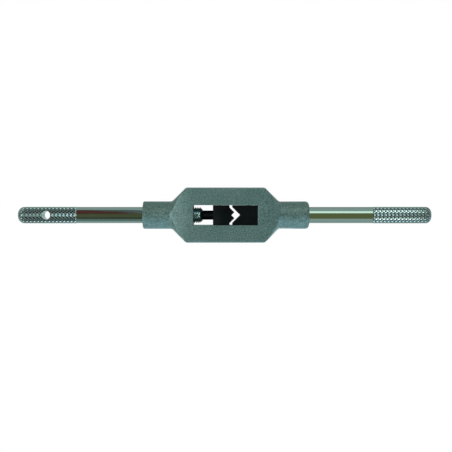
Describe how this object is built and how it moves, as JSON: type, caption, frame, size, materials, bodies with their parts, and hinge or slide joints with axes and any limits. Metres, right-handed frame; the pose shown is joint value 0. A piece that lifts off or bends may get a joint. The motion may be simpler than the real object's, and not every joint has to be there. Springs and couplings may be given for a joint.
{
  "type": "tap wrench",
  "caption": "Adjustable straight tap wrench: a cast body with a window holding two vee jaws, a knurled handle that screws one jaw shut, and a fixed knurled handle.",
  "frame": {"origin": "middle of the body, on the axis of the two handles", "axes": "+X towards the tip of the fixed handle, +Y across the body, +Z along the axis of the tap, out of the face seen from above"},
  "size_m": [0.2811, 0.0378, 0.0224],
  "materials": {
    "casting": "fine-blasted grey-green cast zinc, satin",
    "bright_steel": "polished turned bar, knurled at the grip",
    "black_steel": "black oxide, satin",
    "pin_steel": "ground dowel pin"
  },
  "bodies": {
    "body": {"body": "casting", "fixed_jaw": "black_steel", "jaw_pin_left": "pin_steel", "jaw_pin_right": "pin_steel", "fixed_handle": "bright_steel"},
    "moving_jaw": {"moving_jaw": "black_steel"},
    "clamp_spindle": {"clamp_spindle": "bright_steel", "stem_pin_upper": "pin_steel", "stem_pin_lower": "pin_steel"}
  },
  "joints": [
    {"name": "jaw_slide", "type": "slide", "parent": "body", "child": "moving_jaw", "axis": [1, 0, 0], "range_m": [-0.013, 0.0018]},
    {"name": "spindle_turn", "type": "hinge", "parent": "moving_jaw", "child": "clamp_spindle", "pos_m": [-0.026, 0, 0], "axis": [1, 0, 0], "range_deg": [-3121, 433]}
  ],
  "couplings": [
    {"joint": "spindle_turn", "follows": "jaw_slide", "rad_per_m": 4188.8}
  ]
}
